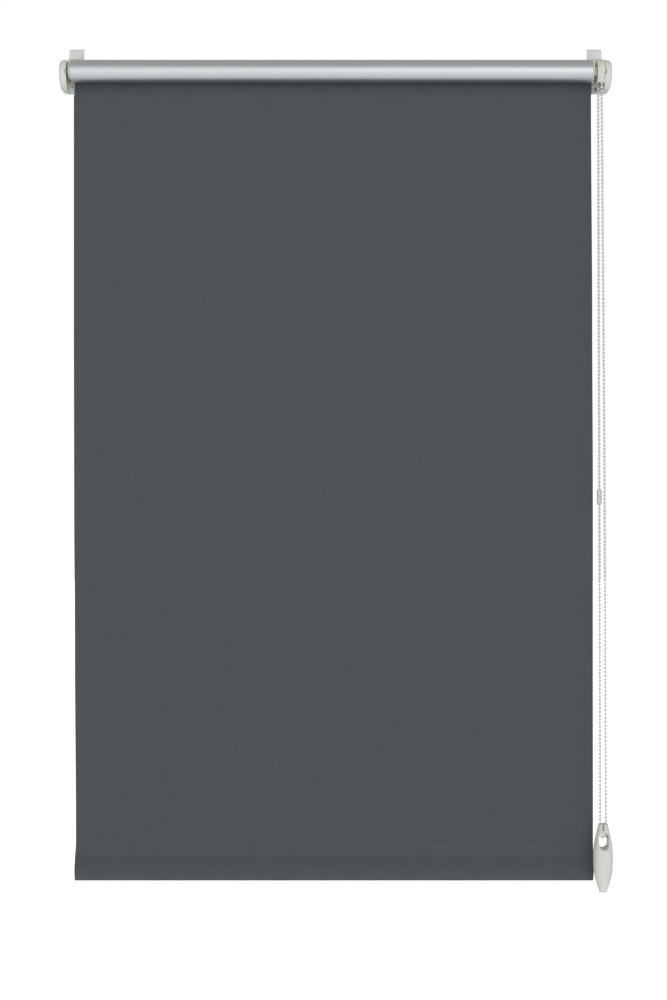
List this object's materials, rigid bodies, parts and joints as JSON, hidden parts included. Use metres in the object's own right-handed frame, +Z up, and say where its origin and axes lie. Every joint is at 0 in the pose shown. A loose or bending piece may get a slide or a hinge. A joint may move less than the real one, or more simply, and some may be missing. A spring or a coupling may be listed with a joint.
{
  "type": "roller blind",
  "caption": "Clamp-on roller blind: slate fabric with a weighted hem on an aluminium tube, bead-chain drive, hooks that grip a window sash.",
  "frame": {"origin": "top of the window sash at its room-side edge, midway between the two clamps", "axes": "+X along the roller to the chain side, +Y towards the window, +Z up"},
  "size_m": [0.6111, 0.0522, 0.939],
  "materials": {
    "white_steel": "white powder coat, satin",
    "zinc_steel": "bright zinc plate",
    "white_plastic": "moulded, satin",
    "cream_plastic": "moulded, satin",
    "clear_plastic": "milky, part clear",
    "anodised_aluminium": "satin anodised",
    "blackout_fabric": "fine plain weave, slate grey",
    "foam": "white closed-cell foam",
    "adhesive_tape": "double-sided tape"
  },
  "bodies": {
    "brackets": {"back_plate_right": "white_steel", "back_plate_left": "white_steel", "seat_pad_right": "foam", "seat_pad_left": "foam", "back_pad_right": "foam", "back_pad_left": "foam", "bracket_arm_right": "cream_plastic", "bracket_arm_left": "cream_plastic", "arm_screw_right": "zinc_steel", "arm_screw_left": "zinc_steel", "end_cover_right": "white_plastic", "end_cover_left": "white_plastic", "drive_hub": "white_plastic", "hub_screw": "zinc_steel", "chain_guard": "cream_plastic", "guard_lid": "cream_plastic", "fabric_sheet": "blackout_fabric"},
    "roller": {"roller_tube": "anodised_aluminium", "adhesive_strip": "adhesive_tape", "fabric_wrap": "blackout_fabric", "idle_plug": "cream_plastic", "idle_spring": "zinc_steel", "pin_retainer": "white_plastic", "drive_plug": "cream_plastic", "chain_wheel": "white_plastic", "chain_on_wheel": "clear_plastic", "wrap_spring_inner": "zinc_steel", "wrap_spring_outer": "zinc_steel"},
    "idle_pin": {"idle_pin": "white_plastic"},
    "hook_right": {"clamp_hook_right": "white_steel", "lip_pad_right": "foam"},
    "hook_left": {"clamp_hook_left": "white_steel", "lip_pad_left": "foam"},
    "lock_right": {"lock_screw_right": "zinc_steel"},
    "lock_left": {"lock_screw_left": "zinc_steel"},
    "hem": {"hem_pocket": "blackout_fabric", "bottom_bar": "anodised_aluminium", "bar_cap_left": "white_plastic", "bar_cap_right": "white_plastic"},
    "chain_loop": {"chain_rear_strand": "clear_plastic", "chain_front_strand": "clear_plastic"},
    "chain_connector": {"connector_upper": "clear_plastic", "connector_lower": "clear_plastic"},
    "chain_weight": {"chain_weight_loop": "clear_plastic", "weight_front_shell": "white_plastic", "weight_rear_shell": "white_plastic", "weight_core": "zinc_steel"}
  },
  "joints": [
    {"name": "roller_turn", "type": "hinge", "parent": "brackets", "child": "roller", "pos_m": [0, -0.0195, -0.0267], "axis": [1, 0, 0], "range_deg": [0, 3402]},
    {"name": "bar_lift", "type": "slide", "parent": "brackets", "child": "hem", "axis": [0, 0, 1], "range_m": [0, 0.83], "deforming": ["fabric_sheet"]},
    {"name": "connector_climb", "type": "slide", "parent": "chain_loop", "child": "chain_connector", "axis": [-0.0012, 0.009, 1], "range_m": [0, 0.441]},
    {"name": "idle_pin_press", "type": "slide", "parent": "roller", "child": "idle_pin", "axis": [1, 0, 0], "range_m": [0, 0.0045], "stiffness_N_per_m": 900, "springref_m": -0.003, "deforming": ["idle_spring"]},
    {"name": "hook_right_slide", "type": "slide", "parent": "brackets", "child": "hook_right", "axis": [0, 1, 0], "range_m": [-0.002, 0.004]},
    {"name": "hook_left_slide", "type": "slide", "parent": "brackets", "child": "hook_left", "axis": [0, 1, 0], "range_m": [-0.002, 0.004]},
    {"name": "lock_right_turn", "type": "hinge", "parent": "brackets", "child": "lock_right", "pos_m": [0.289, 0.0085, 0.0036], "axis": [0, 0, 1], "range_deg": [0, 180]},
    {"name": "lock_left_turn", "type": "hinge", "parent": "brackets", "child": "lock_left", "pos_m": [-0.289, 0.0085, 0.0036], "axis": [0, 0, 1], "range_deg": [0, 180]},
    {"name": "chain_swing", "type": "hinge", "parent": "brackets", "child": "chain_loop", "pos_m": [0.2923, -0.0195, -0.0389], "axis": [1, 0, 0], "range_deg": [-6, 0]},
    {"name": "weight_tilt", "type": "hinge", "parent": "chain_loop", "child": "chain_weight", "pos_m": [0.2958, -0.0195, -0.858], "axis": [0, 1, 0], "range_deg": [-5, 5]}
  ],
  "couplings": [
    {"joint": "bar_lift", "follows": "roller_turn", "m_per_rad": 0.013978},
    {"joint": "connector_climb", "follows": "roller_turn", "m_per_rad": 0.007423}
  ]
}
